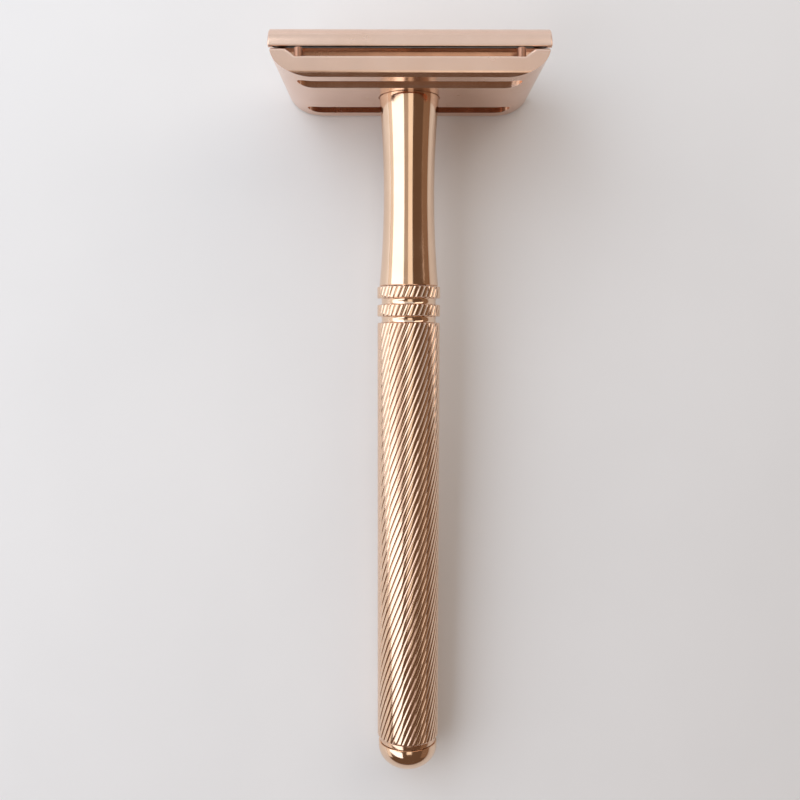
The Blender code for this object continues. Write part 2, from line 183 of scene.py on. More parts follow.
# Colours, and where the darker painted-shade tones start and end
ROSE_SATIN = (0.86, 0.62, 0.50)
ROSE_POLISH = (0.88, 0.655, 0.49)
# Painted shade for the grip's grooves, and the radii between which it is painted
FLUTE_GROOVE_SHADE = (0.78, 0.55, 0.43)
FLUTE_GROOVE_SHADE_LOW = 4.75
FLUTE_GROOVE_SHADE_DEPTH = 0.03
BAND_TONE = (0.82, 0.58, 0.43)
# Painted shade for the base plate's channel walls and slot walls
CHANNEL_SHADE_TONE = (0.54, 0.31, 0.21)
SLOT_SHADE_TONE = (0.88, 0.56, 0.40)
SLOT_SHADE_LOW = 0.4
SHADE_FACE_MARGIN = 0.7
# Painted shade for the posts at the channel ends
POST_SHADE_TONE = (0.42, 0.23, 0.16)
BLADE_STEEL = (0.76, 0.73, 0.70)
MACHINED_STEEL = (0.62, 0.60, 0.57)
TURNED_BRASS = (0.80, 0.62, 0.33)
TABLE_LIGHT = (0.895, 0.91, 0.93)
TABLE_DARK = (0.86, 0.875, 0.895)
ROOM_COLOUR = (1.0, 0.60, 0.38, 1.0)
ROOM_STRENGTH = 0.14

# Surroundings
FLOOR_HALF_SIZE = 1500.0
CEILING = 0.5  # height of the ceiling lights, in metres

# The camera, from the middle of the base plate's underside, in its own right, up and back.
CAMERA_TILT = 4.2
CAMERA_OFFSET = (-1.41, -49.13, 146.27)
CAMERA_ROLL = 0.0017
CAMERA_LENS = 40.46


def razor_matrix():
    """The razor's own frame in the row frame, from the joint that turns the handle."""
    joint = next(j for j in frame["joints"] if j["name"] == "handle_turn")
    up = -Vector(joint["axis"]).normalized()
    side = Vector((1.0, 0.0, 0.0))
    matrix = Matrix.Identity(4)
    for column, axis in enumerate((side, up.cross(side), up)):
        for row in range(3):
            matrix[row][column] = axis[row]
    matrix.translation = Vector(joint["pos_m"])
    return matrix


LAY = razor_matrix()


# Materials


def nodes_for(name):
    """A new material, its node tree and its shader."""
    material = bpy.data.materials.new(name)
    material.use_nodes = True
    tree = material.node_tree
    return material, tree, tree.nodes["Principled BSDF"]


def add_node(tree, kind, **settings):
    """A new node. Each setting is one of its properties or, failing that, one of its inputs."""
    node = tree.nodes.new(kind)
    for key, value in settings.items():
        if hasattr(node, key):
            setattr(node, key, value)
        else:
            node.inputs[key].default_value = value
    return node


def noise(tree, stretch, scale, detail):
    """Noise over the object's own coordinates in millimetres, stretched along an axis."""
    coords = add_node(tree, "ShaderNodeTexCoord")
    mapping = add_node(tree, "ShaderNodeMapping")
    mapping.inputs["Scale"].default_value = [1.0 / MM / s for s in stretch]
    tree.links.new(coords.outputs["Object"], mapping.inputs["Vector"])
    texture = add_node(tree, "ShaderNodeTexNoise", Scale=scale, Detail=detail)
    tree.links.new(mapping.outputs["Vector"], texture.inputs["Vector"])
    return texture.outputs["Fac"]


def spread(tree, value, low, high, start=0.3, end=0.7):
    """Maps start to end onto low to high. Most of a noise lies between 0.3 and 0.7."""
    node = add_node(tree, "ShaderNodeMapRange")
    node.inputs["From Min"].default_value = start
    node.inputs["From Max"].default_value = end
    node.inputs["To Min"].default_value = low
    node.inputs["To Max"].default_value = high
    tree.links.new(value, node.inputs["Value"])
    return node.outputs["Result"]


def colour_mix(tree, factor, second):
    """Mixes towards a second colour. Returns the first colour's socket and the result."""
    mix = add_node(tree, "ShaderNodeMix", data_type="RGBA")
    tree.links.new(factor, mix.inputs["Factor"])
    first_socket, second_socket = [s for s in mix.inputs if s.type == "RGBA"]
    second_socket.default_value = (*second, 1.0)
    return first_socket, next(s for s in mix.outputs if s.type == "RGBA")


def two_tone(tree, factor, first, second):
    """A colour between two others."""
    first_socket, result = colour_mix(tree, factor, second)
    first_socket.default_value = (*first, 1.0)
    return result


def tint(material, mask, tone):
    """Blends the plating's colour to another tone where the mask is 1."""
    tree = material.node_tree
    target = tree.nodes["Principled BSDF"].inputs["Base Color"]
    first_socket, result = colour_mix(tree, mask, tone)
    tree.links.new(target.links[0].from_socket, first_socket)
    tree.links.new(result, target)


def add_bump(tree, shader, value, strength, distance):
    """A bump of a distance in millimetres, on top of those that the shader already has."""
    bump = add_node(tree, "ShaderNodeBump", Strength=strength, Distance=distance * MM)
    tree.links.new(value, bump.inputs["Height"])
    previous = shader.inputs["Normal"]
    if previous.is_linked:
        tree.links.new(previous.links[0].from_socket, bump.inputs["Normal"])
    tree.links.new(bump.outputs["Normal"], previous)


def plated_metal(name, tone, grain, roughness, grain_bump, wear=0.05):
    """Plated metal: faint colour clouds, smudged roughness, a directional grain and fine pits."""
    material, tree, shader = nodes_for(name)
    shader.inputs["Metallic"].default_value = 1.0
    clouds = noise(tree, (1.0, 1.0, 1.0), 0.16, 4.0)
    darker = tuple(c * (1.0 - wear) * (1.0 - 0.5 * wear * i) for i, c in enumerate(tone))
    colour = two_tone(tree, spread(tree, clouds, 0.0, 1.0), tone, darker)
    tree.links.new(colour, shader.inputs["Base Color"])
    smudge = noise(tree, (1.0, 1.0, 1.0), 0.35, 6.0)
    tree.links.new(spread(tree, smudge, *roughness), shader.inputs["Roughness"])
    lines = noise(tree, grain, 1.0, 4.0)
    add_bump(tree, shader, lines, grain_bump, 0.004)
    pits = noise(tree, (1.0, 1.0, 1.0), 2.2, 5.0)
    add_bump(tree, shader, pits, grain_bump * 0.5, 0.003)
    return material


def bare_metal(name, tone, grain, roughness, grain_bump):
    """Unplated metal, with stronger colour clouds."""
    return plated_metal(name, tone, grain, roughness, grain_bump, wear=0.12)


def multiply(tree, first, second):
    """The product of two values."""
    product = add_node(tree, "ShaderNodeMath", operation="MULTIPLY")
    tree.links.new(first, product.inputs[0])
    tree.links.new(second, product.inputs[1])
    return product.outputs["Value"]


def between(tree, value, low, high, soft):
    """1 where the value lies between low and high, 0 elsewhere, with soft borders."""
    above = spread(tree, value, 0.0, 1.0, low - soft, low + soft)
    below = spread(tree, value, 1.0, 0.0, high - soft, high + soft)
    return multiply(tree, above, below)


def reach_along(tree, axes):
    """Distance from the razor's origin in millimetres, counting only the axes that are 1."""
    coords = add_node(tree, "ShaderNodeTexCoord")
    flat = add_node(tree, "ShaderNodeVectorMath", operation="MULTIPLY")
    flat.inputs[1].default_value = [a / MM for a in axes]
    tree.links.new(coords.outputs["Object"], flat.inputs[0])
    length = add_node(tree, "ShaderNodeVectorMath", operation="LENGTH")
    tree.links.new(flat.outputs["Vector"], length.inputs[0])
    return length.outputs["Value"]


def fluted_metal(name, tone):
    """Plating over rolled flutes: bright lands, and painted shade, a darker tone, down in the
    grooves.
    """
    material = plated_metal(name, tone, (0.4, 0.4, 6.0), (0.08, 0.16), 0.25)
    tree = material.node_tree
    radius = reach_along(tree, (1, 1, 0))
    top = GRIP_RADIUS - FLUTE_CROWN - FLUTE_GROOVE_SHADE_DEPTH
    # Painted shade: everything below the lands, down into the grooves, gets a darker tone.
    tint(material, between(tree, radius, FLUTE_GROOVE_SHADE_LOW, top, 0.02), FLUTE_GROOVE_SHADE)
    return material


def base_metal(name, tone):
    """Satin plating, with painted shade on the slot and channel walls: a warmer tone in the
    slots, a darker one in the channels.
    """
    material = plated_metal(name, tone, (8.0, 0.25, 0.25), (0.20, 0.28), 0.5)
    tree = material.node_tree
    soft = 0.1
    inner = SLOT_INNER + SLOT_STEP + soft
    outer = BASE_DEPTH / 2.0 - SHADE_FACE_MARGIN
    wide = between(tree, reach_along(tree, (0, 1, 0)), inner, outer, soft)
    end = SLOT_HALF_LENGTH + soft
    long = between(tree, reach_along(tree, (1, 0, 0)), -1.0, end, soft / 2.0)
    inside = multiply(tree, wide, long)
    height = reach_along(tree, (0, 0, 1))
    # Painted shade: the slot walls and the channel walls get their own darker, warmer tones.
    slot_level = (SLOT_SHADE_LOW, BAR_TOP, SLOT_SHADE_TONE)
    channel_level = (BAR_TOP, BED_CROWN, CHANNEL_SHADE_TONE)
    for low, high, shade_tone in (slot_level, channel_level):
        level = between(tree, height, low, high, soft)
        tint(material, multiply(tree, inside, level), shade_tone)
    return material


def table_surface():
    """A pale satin table top with a faint mottle."""
    material, tree, shader = nodes_for("table_top")
    clouds = noise(tree, (1.0, 1.0, 1.0), 0.02, 3.0)
    colour = two_tone(tree, spread(tree, clouds, 0.0, 1.0), TABLE_LIGHT, TABLE_DARK)
    tree.links.new(colour, shader.inputs["Base Color"])
    shader.inputs["Roughness"].default_value = 0.55
    shader.inputs["Specular IOR Level"].default_value = 0.3
    add_bump(tree, shader, noise(tree, (1.0, 1.0, 1.0), 0.8, 4.0), 0.1, 0.01)
    return material


# Mesh tools


def add_piece(name, bm, material, body, stands_for=(), sharp=SHARP_ANGLE):
    """Turns a bmesh drawn in the razor's frame into a piece that rides on a body."""
    for vert in bm.verts:
        vert.co *= MM
    bmesh.ops.recalc_face_normals(bm, faces=bm.faces)
    mesh = bpy.data.meshes.new(name)
    bm.to_mesh(mesh)
    bm.free()
    mesh.shade_smooth()
    mesh.set_sharp_from_angle(angle=math.radians(sharp))
    mesh.materials.append(material)
    obj = bpy.data.objects.new(name, mesh)
    obj.matrix_world = LAY
    bpy.context.scene.collection.objects.link(obj)
    bpy.context.view_layer.update()
    if body:
        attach(obj, body)
        if stands_for:
            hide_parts(*stands_for)
    return obj


def join_rings(bm, lower, upper, steps):
    """Faces between two rings of points. A ring can be one point, where a shape closes."""
    for i in range(steps):
        j = (i + 1) % steps
        corners = [lower[i % len(lower)], lower[j % len(lower)]]
        corners += [upper[j % len(upper)], upper[i % len(upper)]]
        kept = [v for n, v in enumerate(corners) if v not in corners[:n]]
        if len(kept) > 2:
            bm.faces.new(kept)


def turned(profile, steps):
    """Spins (radius, height) points about Z. A radius of 0 closes the shape on the axis."""
    bm = bmesh.new()
    turns = [2.0 * math.pi * i / steps for i in range(steps)]
    rings = []
    for radius, height in profile:
        if radius == 0.0:
            points = [(0.0, 0.0, height)]
        else:
            points = [(radius * math.cos(a), radius * math.sin(a), height) for a in turns]
        rings.append([bm.verts.new(p) for p in points])
    pairs = list(zip(rings, rings[1:]))
    if profile[0][0] != 0.0:
        pairs.append((rings[-1], rings[0]))
    for lower, upper in pairs:
        join_rings(bm, lower, upper, steps)
    return bm


def rounded(profile, corner, radius, steps=4):
    """Replaces one corner of a profile by a small arc of about the given radius."""
    before, here, after = (Vector(profile[corner + k]) for k in (-1, 0, 1))
    start = here + (before - here).normalized() * radius
    end = here + (after - here).normalized() * radius
    arc_points = []
    for i in range(steps + 1):
        t = i / steps
        point = start * (1 - t) ** 2 + here * 2 * t * (1 - t) + end * t * t
        arc_points.append((point.x, point.y))
    return profile[:corner] + arc_points + profile[corner + 1 :]


def prism(sections):
    """A solid through sections that all have the same number of points."""
    bm = bmesh.new()
    rings = [[bm.verts.new(p) for p in section] for section in sections]
    for lower, upper in zip(rings, rings[1:]):
        join_rings(bm, lower, upper, len(rings[0]))
    bm.faces.new(rings[0])
    bm.faces.new(rings[-1])
    return bm


def drawn_out(outline, length):
    """A (y, z) outline drawn out along X, half the length to each side."""
    half = length / 2.0
    return prism([[(x, y, z) for y, z in outline] for x in (-half, half)])


def upright(outline, heights):
    """An (x, y) outline as a solid between two heights."""
    return prism([[(x, y, z) for x, y in outline] for z in heights])


def rod(radius, top, bottom, steps, x=0.0):
    """An upright cylinder."""
    bm = turned([(0.0, top), (radius, top), (radius, bottom), (0.0, bottom)], steps)
    bmesh.ops.translate(bm, verts=bm.verts, vec=(x, 0.0, 0.0))
    return bm


def arc_height(y, crown, radius):
    """Height at y of an arc whose highest point, at y = 0, is the crown."""
    return crown - radius + math.sqrt(radius * radius - y * y)


def arc(crown, radius, half_chord, steps):
    """(y, z) points along such an arc."""
    limit = math.asin(half_chord / radius)
    turns = [limit * (2.0 * i / steps - 1.0) for i in range(steps + 1)]
    return [(radius * math.sin(a), crown - radius * (1.0 - math.cos(a))) for a in turns]


def clamp_arc(offset, half_chord, steps=40):
    """The arc that the blade is bent to, at a distance above its bed."""
    return arc(BED_CROWN + offset, CLAMP_RADIUS + offset, half_chord, steps)


def carve(obj, bm, operation="DIFFERENCE"):
    """Applies a Boolean with a throw-away tool drawn in the razor's frame."""
    tool = add_piece("tool", bm, obj.data.materials[0], None)
    modifier = obj.modifiers.new("carve", "BOOLEAN")
    modifier.operation = operation
    modifier.solver = "EXACT"
    modifier.object = tool
    bpy.context.view_layer.update()
    graph = bpy.context.evaluated_depsgraph_get()
    result = bpy.data.meshes.new_from_object(obj.evaluated_get(graph))
    result.shade_smooth()
    result.set_sharp_from_angle(angle=math.radians(SHARP_ANGLE))
    obj.modifiers.remove(modifier)
    old = obj.data
    obj.data = result
    bpy.data.meshes.remove(old)
    bpy.data.objects.remove(tool)


def soften(obj, width, segments, angle):
    """A small rounded edge that catches the light."""
    bevel = obj.modifiers.new("edge", "BEVEL")
    bevel.width = width * MM
    bevel.segments = segments
    bevel.limit_method = "ANGLE"
    bevel.angle_limit = math.radians(angle)
    bevel.harden_normals = True
    bevel.use_clamp_overlap = True


# Head


def cap_shoulder():
    """One side of the cap's top, down to the lip: an arc that is tangent to the crown's."""
    reach = CAP_CROWN_RADIUS - CAP_SHOULDER_RADIUS
    centre_y = reach * math.sin(CAP_SHOULDER_START)
    centre_z = CAP_CROWN - CAP_CROWN_RADIUS + reach * math.cos(CAP_SHOULDER_START)
    end = math.asin((CAP_DEPTH / 2.0 - centre_y) / CAP_SHOULDER_RADIUS)
    steps = 32
    points = []
    for i in range(1, steps + 1):
        turn = CAP_SHOULDER_START + (end - CAP_SHOULDER_START) * i / steps
        y = centre_y + CAP_SHOULDER_RADIUS * math.sin(turn)
        points.append((y, centre_z + CAP_SHOULDER_RADIUS * math.cos(turn)))
    return points


def cap_outline():
    """Section across the cap: a shallow crown, two tight shoulders, the blade's curve below."""
    shoulder = cap_shoulder()
    half_crown = CAP_CROWN_RADIUS * math.sin(CAP_SHOULDER_START)
    top = [(-y, z) for y, z in shoulder[::-1]]
    top += arc(CAP_CROWN, CAP_CROWN_RADIUS, half_crown, 40)
    top += shoulder
    under = clamp_arc(2.0 * GAP + BLADE_THICKNESS, CAP_DEPTH / 2.0)
    return top + under[::-1]


def add_corner_lip(bm, side_x, side_y):
    """A small lip under one corner of the cap, beside the blade's end tab."""
    width = CAP_DEPTH / 2.0 - LIP_OUTER_INSET - LIP_INNER
    steps = 8
    under = []
    over = []
    for i in range(steps + 1):
        y = LIP_INNER + width * i / steps
        under.append((side_y * y, arc_height(y, BED_CROWN + GAP, CLAMP_RADIUS + GAP)))
        over.append((side_y * y, under[-1][1] + LIP_HEIGHT))
    outline = under + over[::-1]
    sections = []
    for inset in LIP_END_INSETS:
        x = side_x * (CAP_LENGTH / 2.0 - inset)
        sections.append([bm.verts.new((x, y, z)) for y, z in outline])
    join_rings(bm, sections[0], sections[1], len(outline))
    for section in sections:
        bm.faces.new(section)


def make_cap(material):
    shell = drawn_out(cap_outline(), CAP_LENGTH)
    cap = add_piece("cap_shell", shell, material, "cap", ["top_cap"])
    soften(cap, CAP_EDGE, 4, 30.0)
    lips = bmesh.new()
    for side_x in (-1, 1):
        for side_y in (-1, 1):
            add_corner_lip(lips, side_x, side_y)
    add_piece("cap_corner_lips", lips, material, "cap")


def thread_radius(turn):
    """Radius of the stud at a fraction of one pitch: flat crests and roots, straight flanks."""
    wave = abs(2.0 * (turn % 1.0) - 1.0)
    flank = (wave - THREAD_FLAT) / (1.0 - 2.0 * THREAD_FLAT)
    return STUD_RADIUS - THREAD_DEPTH * min(1.0, max(0.0, flank))


def make_stud(material):
    """The stud: a thread that fades into a chamfer at its tip."""
    bm = bmesh.new()
    around = 40
    step = THREAD_PITCH / 10.0
    count = int((STUD_TOP - STUD_TIP) / step)
    rings = []
    for k in range(count + 1):
        z = STUD_TIP + (STUD_TOP - STUD_TIP) * k / count
        ring = []
        for i in range(around):
            turn = i / around
            r = thread_radius(z / THREAD_PITCH - turn)
            r = min(r, STUD_RADIUS - STUD_CHAMFER + (z - STUD_TIP))
            angle = 2.0 * math.pi * turn
            ring.append(bm.verts.new((r * math.cos(angle), r * math.sin(angle), z)))
        rings.append(ring)
    for lower, upper in zip(rings, rings[1:]):
        join_rings(bm, lower, upper, around)
    bm.faces.new(rings[0])
    bm.faces.new(rings[-1])
    add_piece("cap_thread", bm, material, "cap", ["cap_stud"], 50.0)


def make_pins(material):
    profile = [(0.0, PIN_TOP), (PIN_RADIUS, PIN_TOP), (PIN_RADIUS, PIN_TIP), (0.0, PIN_TIP)]
    profile = rounded(profile, 2, PIN_ROUNDING, 5)
    for side, word in ((-1, "left"), (1, "right")):
        bm = turned(profile, 36)
        bmesh.ops.translate(bm, verts=bm.verts, vec=(side * PIN_X, 0.0, 0.0))
        name = f"locating_pin_{word}"
        add_piece(name, bm, material, "cap", [f"cap_pin_{word}"])


def blade_outline():
    """Section across the blade: a bent sheet, ground thin towards both edges."""
    full = BLADE_HALF_CHORD - BLADE_BEVEL
    under = clamp_arc(GAP, full)
    top = clamp_arc(GAP + BLADE_THICKNESS, full)
    middle = BED_CROWN + GAP + BLADE_THICKNESS / 2.0
    tip = arc_height(BLADE_HALF_CHORD, middle, CLAMP_RADIUS + GAP)
    left = [(-BLADE_HALF_CHORD, tip - BLADE_TIP), (-BLADE_HALF_CHORD, tip + BLADE_TIP)]
    right = [(BLADE_HALF_CHORD, tip + BLADE_TIP), (BLADE_HALF_CHORD, tip - BLADE_TIP)]
    return left + top + right + under[::-1]


def blade_slot(top, bottom):
    """The blade's long slot, with round eyes at the stud and the pins and one between each."""
    half = BLADE_SLOT_HALF_LENGTH
    eyes = ((0.0, STUD_EYE_RADIUS), (MIDDLE_EYE_X, MIDDLE_EYE_RADIUS), (PIN_X, PIN_EYE_RADIUS))
    steps = 240
    outline = []
    for i in range(steps + 1):
        x = -half + 2.0 * half * i / steps
        past = max(0.0, abs(x) - (half - BLADE_SLOT_END)) / BLADE_SLOT_END
        y = BLADE_SLOT_HALF_WIDTH * math.sqrt(max(0.0, 1.0 - past**2))
        for centre, radius in eyes:
            offset = abs(x) - centre
            if abs(offset) < radius:
                y = max(y, math.sqrt(radius * radius - offset * offset))
        outline.append((x, max(y, 0.02)))
    return upright(outline + [(x, -y) for x, y in outline[::-1]], (bottom, top))


def make_blade(material):
    sheet = drawn_out(blade_outline(), BLADE_LENGTH)
    blade = add_piece("blade_sheet", sheet, material, "blade", ["blade"])
    carve(blade, blade_slot(BED_CROWN + 2.0, BED_CROWN - 4.0))
    for side_x in (-1, 1):
        for side_y in (-1, 1):
            near_x = side_x * BLADE_EDGE_LENGTH / 2.0
            near_y = side_y * BLADE_TAB_WIDTH / 2.0
            far_x = side_x * BLADE_LENGTH
            far_y = side_y * BASE_DEPTH
            notch = [(near_x, near_y), (far_x, near_y), (far_x, far_y), (near_x, far_y)]
            carve(blade, upright(notch, (2.0, 10.0)))


def base_outline():
    """Section across the base plate: bars with chamfered lower edges, the blade bed on top."""
    half = BASE_DEPTH / 2.0
    top = clamp_arc(0.0, half - RIM_CHAMFER, 48)
    side = top[-1][1] - RIM_CHAMFER
    left = [(-half + BAR_CHAMFER, 0.0), (-half, BAR_CHAMFER), (-half, side)]
    left = rounded(left, 1, BAR_EDGE_ROUNDING, 6)
    return left + top + [(-y, z) for y, z in left[::-1]]


def base_end_outline():
    """The base plate from the front, as (x, z): its underside sweeps up at both ends."""
    start = BASE_LENGTH / 2.0 - BASE_END_RUN
    steps = 28
    right = []
    for i in range(steps + 1):
        turn = math.pi / 2.0 * i / steps
        x = start + BASE_END_RUN * math.sin(turn)
        right.append((x, BASE_END_RISE * (1.0 - math.cos(turn))))
    right.append((BASE_LENGTH / 2.0, BED_CROWN + 3.0))
    return right + [(-x, z) for x, z in right[::-1]]


def wall_y(z):
    """Side wall of the blade bed: sloping in the slot, steep beside the bar, flared above."""
    crown = arc_height(BED_HALF_WIDTH, BED_CROWN, CLAMP_RADIUS)
    bend = BED_HALF_WIDTH - (crown - WALL_BEND) * WALL_UPPER_LEAN
    floor = bend - (WALL_BEND - BAR_TOP) * WALL_LEAN
    if z > WALL_BEND:
        return bend + (z - WALL_BEND) * WALL_UPPER_LEAN
    if z > BAR_TOP:
        return floor + (z - BAR_TOP) * WALL_LEAN
    return SLOT_INNER + (floor - SLOT_INNER) * z / BAR_TOP


def bar_wall_y(z):
    """Inner wall of a guard bar."""
    return SLOT_OUTER + (BAR_INNER_TOP - SLOT_OUTER) / BAR_TOP * z


def round_ended(x, near, far, z):
    """A long slot outline with round ends between two Y values at height z."""
    middle = (near + far) / 2.0
    radius = abs(far - near) / 2.0
    steps = 16
    points = []
    for side in (1, -1):
        for i in range(steps + 1):
            turn = math.pi * (i / steps - 0.5)
            end_x = side * (x - radius + radius * math.cos(turn))
            points.append((end_x, middle + side * radius * math.sin(turn), z))
    return points


def slot_cutter(side):
    """Cuts a lather slot, and reaches a little into the channel above it."""
    sections = []
    for z in (CUT_BOTTOM, BAR_TOP + 0.05):
        near = side * (wall_y(z) + SLOT_STEP)
        sections.append(round_ended(SLOT_HALF_LENGTH, near, side * bar_wall_y(z), z))
    return prism(sections)


def channel_end(z):
    """Half length of a channel at height z."""
    return CHANNEL_HALF_LENGTH + CHANNEL_END_SLOPE * (z - BAR_TOP)


def channel_cutter(side):
    """Cuts the channel above a guard bar, open to the outside."""
    sections = []
    for z in (BAR_TOP, WALL_BEND, CUT_TOP):
        near = side * wall_y(z)
        far = side * BASE_DEPTH
        x = channel_end(z)
        sections.append([(-x, near, z), (x, near, z), (x, far, z), (-x, far, z)])
    return prism(sections)


def on_channel_mouth(point):
    """Whether a point lies on the outer edge of a channel: the bar's top or an end slope."""
    x, y, z = (abs(c) / MM for c in point)
    close = 0.02
    end = channel_end(z)
    on_face = abs(y - BASE_DEPTH / 2.0) < close
    on_bar = abs(z - BAR_TOP) < close and x < end + close
    return on_face and (on_bar or abs(x - end) < close)


def round_channel_mouths(base):
    """A wider rounding where a channel opens in the outer face."""
    mesh = base.data
    weights = mesh.attributes.new("bevel_weight_edge", "FLOAT", "EDGE")
    for edge in mesh.edges:
        if all(on_channel_mouth(mesh.vertices[i].co) for i in edge.vertices):
            weights.data[edge.index].value = 1.0
    bevel = base.modifiers.new("mouth", "BEVEL")
    bevel.limit_method = "WEIGHT"
    bevel.width = MOUTH_ROUNDING * MM
    bevel.segments = 5
    bevel.use_clamp_overlap = False


def make_base(material):
    block = drawn_out(base_outline(), BASE_LENGTH)
    base = add_piece("guard_plate", block, material, "base", ["base_plate"])
    hull = prism([[(x, y, z) for x, z in base_end_outline()] for y in (-20.0, 20.0)])
    carve(base, hull, "INTERSECT")
    for side in (-1, 1):
        carve(base, channel_cutter(side))
        carve(base, slot_cutter(side))
        carve(base, rod(PIN_HOLE_RADIUS, CUT_TOP, PIN_HOLE_FLOOR, 32, x=side * PIN_X))
    carve(base, rod(STUD_RADIUS + STUD_CLEARANCE, CUT_TOP, CUT_BOTTOM, 64))
    carve(base, rod(SEAT_RADIUS, SEAT_DEPTH, CUT_BOTTOM, 96))
    round_channel_mouths(base)
    soften(base, BASE_EDGE, 3, 34.0)


def make_posts(material):
    """Four small posts, rooted in the guard bars near their ends."""
    bottom = BAR_TOP - POST_ROOT
    profile = [(0.0, POST_TOP), (POST_RADIUS, POST_TOP), (POST_RADIUS, bottom), (0.0, bottom)]
    profile = rounded(profile, 1, POST_ROUNDING, 5)
    for side_x in (-1, 1):
        for side_y in (-1, 1):
            bm = turned(profile, 32)
            shift = (side_x * POST_X, side_y * POST_Y, 0.0)
            bmesh.ops.translate(bm, verts=bm.verts, vec=shift)
            name = f"guard_post_{side_x + 1}{side_y + 1}"
            add_piece(name, bm, material, "base")


# Handle


def neck_radius(z):
    """The neck's waist: an arc between two ends of the same radius."""
    half = NECK_LENGTH / 2.0
    sag = NECK_END_RADIUS - NECK_WAIST_RADIUS
    radius = (half * half + sag * sag) / (2.0 * sag)
    offset = z + half
    return NECK_WAIST_RADIUS + radius - math.sqrt(radius * radius - offset * offset)


def make_neck(material):
    """The neck, bored for the insert at its top and for the core rod at its bottom."""
    top = SEAT_DEPTH - GAP
    floor = top - INSERT_LENGTH - 2.0 * GAP
    bore = INSERT_RADIUS + GAP
    profile = [(0.0, floor), (bore, floor), (bore, top)]
    for i in range(9):
        turn = math.pi / 2.0 * i / 8
        r = NECK_END_RADIUS - NECK_RIM + NECK_RIM * math.sin(turn)
        profile.append((r, top - NECK_RIM + NECK_RIM * math.cos(turn)))
    steps = 60
    for i in range(1, steps):
        z = -NECK_LENGTH * i / steps
        profile.append((neck_radius(z), z))
    bottom = -NECK_LENGTH
    profile += [(NECK_END_RADIUS - 0.02, bottom + 0.12), (NECK_END_RADIUS - 0.1, bottom)]
    profile += [(CORE_BORE, bottom), (CORE_BORE, CORE_TOP), (0.0, CORE_TOP)]
    shell = turned(profile, ROUND_STEPS)
    add_piece("neck_shell", shell, material, "handle", ["neck"])


def flute_radius(part, radius, depth):
    """Radius at a fraction of one flute's pitch: a slightly crowned land, then a V groove."""
    offset = abs(part - 0.5)
    crown = FLUTE_CROWN * depth / FLUTE_DEPTH
    if offset <= FLUTE_LAND:
        return radius - crown * (offset / FLUTE_LAND) ** 2
    return radius - crown - (depth - crown) * (offset - FLUTE_LAND) / (0.5 - FLUTE_LAND)


def flute_parts():
    """Fractions of the pitch where a ring has points: across the land, then down the groove."""
    land = [0.5 + FLUTE_LAND * k / 3.0 for k in range(-3, 4)]
    inner = FLUTE_LAND + 0.35 * (0.5 - FLUTE_LAND)
    return sorted([0.0, 0.5 - inner] + land + [0.5 + inner])


def fluted_ring(bm, z, radius, depth, twist=None):
    """One ring of the grip. Its flutes have turned as far as they do at the height twist."""
    pitch = 2.0 * math.pi / FLUTES
    height = z if twist is None else twist
    start = 2.0 * math.pi * height / FLUTE_LEAD - math.pi / 2.0
    ring = []
    for i in range(FLUTES):
        for part in flute_parts():
            angle = start + (i + part) * pitch
            r = flute_radius(part, radius, depth)
            ring.append(bm.verts.new((r * math.cos(angle), r * math.sin(angle), z)))
    return ring


def collar_rings(z):
    """A fluted collar with small chamfers, then the round-bottomed groove below it."""
    low = z - COLLAR_WIDTH
    length = COLLAR_WIDTH - 2.0 * GRIP_EDGE
    rings = [(z, COLLAR_RADIUS - GRIP_EDGE, FLUTE_DEPTH * FLUTE_END_SHARE)]
    for i in range(5):
        rings.append((z - GRIP_EDGE - length * i / 4, COLLAR_RADIUS, FLUTE_DEPTH))
    rings.append((low, COLLAR_RADIUS - GRIP_EDGE, FLUTE_DEPTH * FLUTE_END_SHARE))
    middle = low - GROOVE_WIDTH / 2.0
    steps = 10
    for i in range(steps + 1):
        turn = math.pi * i / steps
        drop = GROOVE_WIDTH / 2.0 * math.cos(turn)
        rise = GROOVE_ROUNDING * (1.0 - math.sin(turn))
        rings.append((middle + drop, GROOVE_RADIUS + rise, 0.0, middle))
    return rings


def grip_rings():
    """(height, radius, flute depth) down the grip: two collars, the long body, the shoulder."""
    rings = []
    z = GRIP_TOP
    for _ in range(COLLARS):
        rings += collar_rings(z)
        z -= COLLAR_WIDTH + GROOVE_WIDTH
    rings.append((z, GRIP_RADIUS - GRIP_EDGE, FLUTE_DEPTH * FLUTE_END_SHARE))
    start = z - GRIP_EDGE
    end = GRIP_END + GRIP_SHOULDER
    steps = 110
    for i in range(steps + 1):
        rings.append((start + (end - start) * i / steps, GRIP_RADIUS, FLUTE_DEPTH))
    for i in range(1, 7):
        turn = math.pi / 2.0 * i / 6
        depth = FLUTE_DEPTH * max(0.0, 1.0 - i / 3.0)
        r = GRIP_RADIUS - GRIP_SHOULDER * (1.0 - math.cos(turn))
        rings.append((end - GRIP_SHOULDER * math.sin(turn), r, depth))
    return rings


def make_grip(material):
    bm = bmesh.new()
    rings = [fluted_ring(bm, *ring) for ring in grip_rings()]
    rings += [fluted_ring(bm, z, CORE_BORE, 0.0) for z in (GRIP_END, GRIP_TOP)]
    steps = len(rings[0])
    for lower, upper in zip(rings, rings[1:] + rings[:1]):
        join_rings(bm, lower, upper, steps)
    add_piece("grip_sleeve", bm, material, "handle", ["grip"], 30.0)


